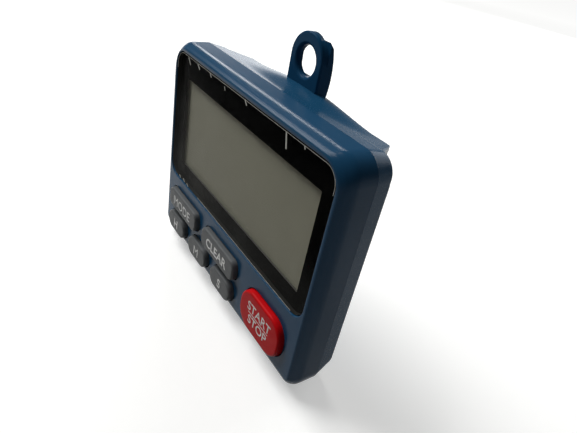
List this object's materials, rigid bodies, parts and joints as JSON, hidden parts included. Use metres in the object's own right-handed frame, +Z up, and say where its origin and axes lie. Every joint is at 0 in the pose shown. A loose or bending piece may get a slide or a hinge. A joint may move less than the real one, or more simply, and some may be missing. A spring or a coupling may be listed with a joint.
{
  "type": "kitchen timer",
  "caption": "Upright digital kitchen timer with a wide display, a row of small keys, a large start key, a hanging loop and a sliding battery door.",
  "frame": {"origin": "middle of the whole width and depth, on the plane the base stands on", "axes": "+X to the right of someone facing the display, +Y from the display to the back, +Z up"},
  "size_m": [0.0682, 0.019, 0.0666],
  "materials": {
    "blue_case": "satin gloss",
    "blue_cover": "satin gloss",
    "blue_loop": "satin gloss",
    "blue_door": "satin gloss",
    "clear_lens": "clear polished",
    "border_ink": "flat printed",
    "adhesive": "matte",
    "polarizer": "matte film",
    "lcd_glass": "clear",
    "reflector": "matte film",
    "white_frame": "matte",
    "zebra_rubber": "matte",
    "board_green": "satin",
    "black_resin": "satin",
    "crystal_can": "bright",
    "coil_copper": "lacquered",
    "capacitor": "matte",
    "pad_gold": "bright",
    "mat_silicone": "matte",
    "grey_key": "matte",
    "red_key": "satin",
    "piezo_brass": "bright",
    "ceramic": "silvered",
    "spring_steel": "bright",
    "cell_sleeve": "printed sleeve",
    "contact_nickel": "bright",
    "screw_steel": "plated"
  },
  "bodies": {
    "case": {"front_housing": "blue_case", "back_cover": "blue_cover", "hanging_loop": "blue_loop", "display_lens": "clear_lens", "border_film": "border_ink", "lens_tape": "adhesive", "lcd_polarizer": "polarizer", "lcd_front_glass": "lcd_glass", "lcd_rear_glass": "lcd_glass", "lcd_reflector": "reflector", "lcd_frame": "white_frame", "zebra_strip": "zebra_rubber", "circuit_board": "board_green", "controller_blob": "black_resin", "crystal": "crystal_can", "boost_coil": "coil_copper", "board_capacitors": "capacitor", "contact_pads": "pad_gold", "key_mat": "mat_silicone", "piezo_plate": "piezo_brass", "piezo_ceramic": "ceramic", "buzzer_springs": "spring_steel", "battery": "cell_sleeve", "positive_contact": "contact_nickel", "negative_contact": "contact_nickel", "battery_spring": "spring_steel", "case_screws": "screw_steel", "board_screws": "screw_steel"},
    "mode_key_cap": {"mode_key": "grey_key"},
    "clear_key_cap": {"clear_key": "grey_key"},
    "hour_key_cap": {"hour_key": "grey_key"},
    "minute_key_cap": {"minute_key": "grey_key"},
    "second_key_cap": {"second_key": "grey_key"},
    "start_stop_key_cap": {"start_stop_key": "red_key"},
    "door": {"battery_door": "blue_door"}
  },
  "joints": [
    {"name": "mode_key_press", "type": "slide", "parent": "case", "child": "mode_key_cap", "axis": [0, 1, 0], "range_m": [0, 0.00075], "stiffness_N_per_m": 40, "springref_m": -0.0005, "deforming": ["key_mat"]},
    {"name": "clear_key_press", "type": "slide", "parent": "case", "child": "clear_key_cap", "axis": [0, 1, 0], "range_m": [0, 0.00075], "stiffness_N_per_m": 40, "springref_m": -0.0005, "deforming": ["key_mat"]},
    {"name": "hour_key_press", "type": "slide", "parent": "case", "child": "hour_key_cap", "axis": [0, 1, 0], "range_m": [0, 0.00075], "stiffness_N_per_m": 40, "springref_m": -0.0005, "deforming": ["key_mat"]},
    {"name": "minute_key_press", "type": "slide", "parent": "case", "child": "minute_key_cap", "axis": [0, 1, 0], "range_m": [0, 0.00075], "stiffness_N_per_m": 40, "springref_m": -0.0005, "deforming": ["key_mat"]},
    {"name": "second_key_press", "type": "slide", "parent": "case", "child": "second_key_cap", "axis": [0, 1, 0], "range_m": [0, 0.00075], "stiffness_N_per_m": 40, "springref_m": -0.0005, "deforming": ["key_mat"]},
    {"name": "start_stop_key_press", "type": "slide", "parent": "case", "child": "start_stop_key_cap", "axis": [0, 1, 0], "range_m": [0, 0.00075], "stiffness_N_per_m": 40, "springref_m": -0.0005, "deforming": ["key_mat"]},
    {"name": "door_slide", "type": "slide", "parent": "case", "child": "door", "axis": [0, 0, -1], "range_m": [0, 0.01]}
  ]
}
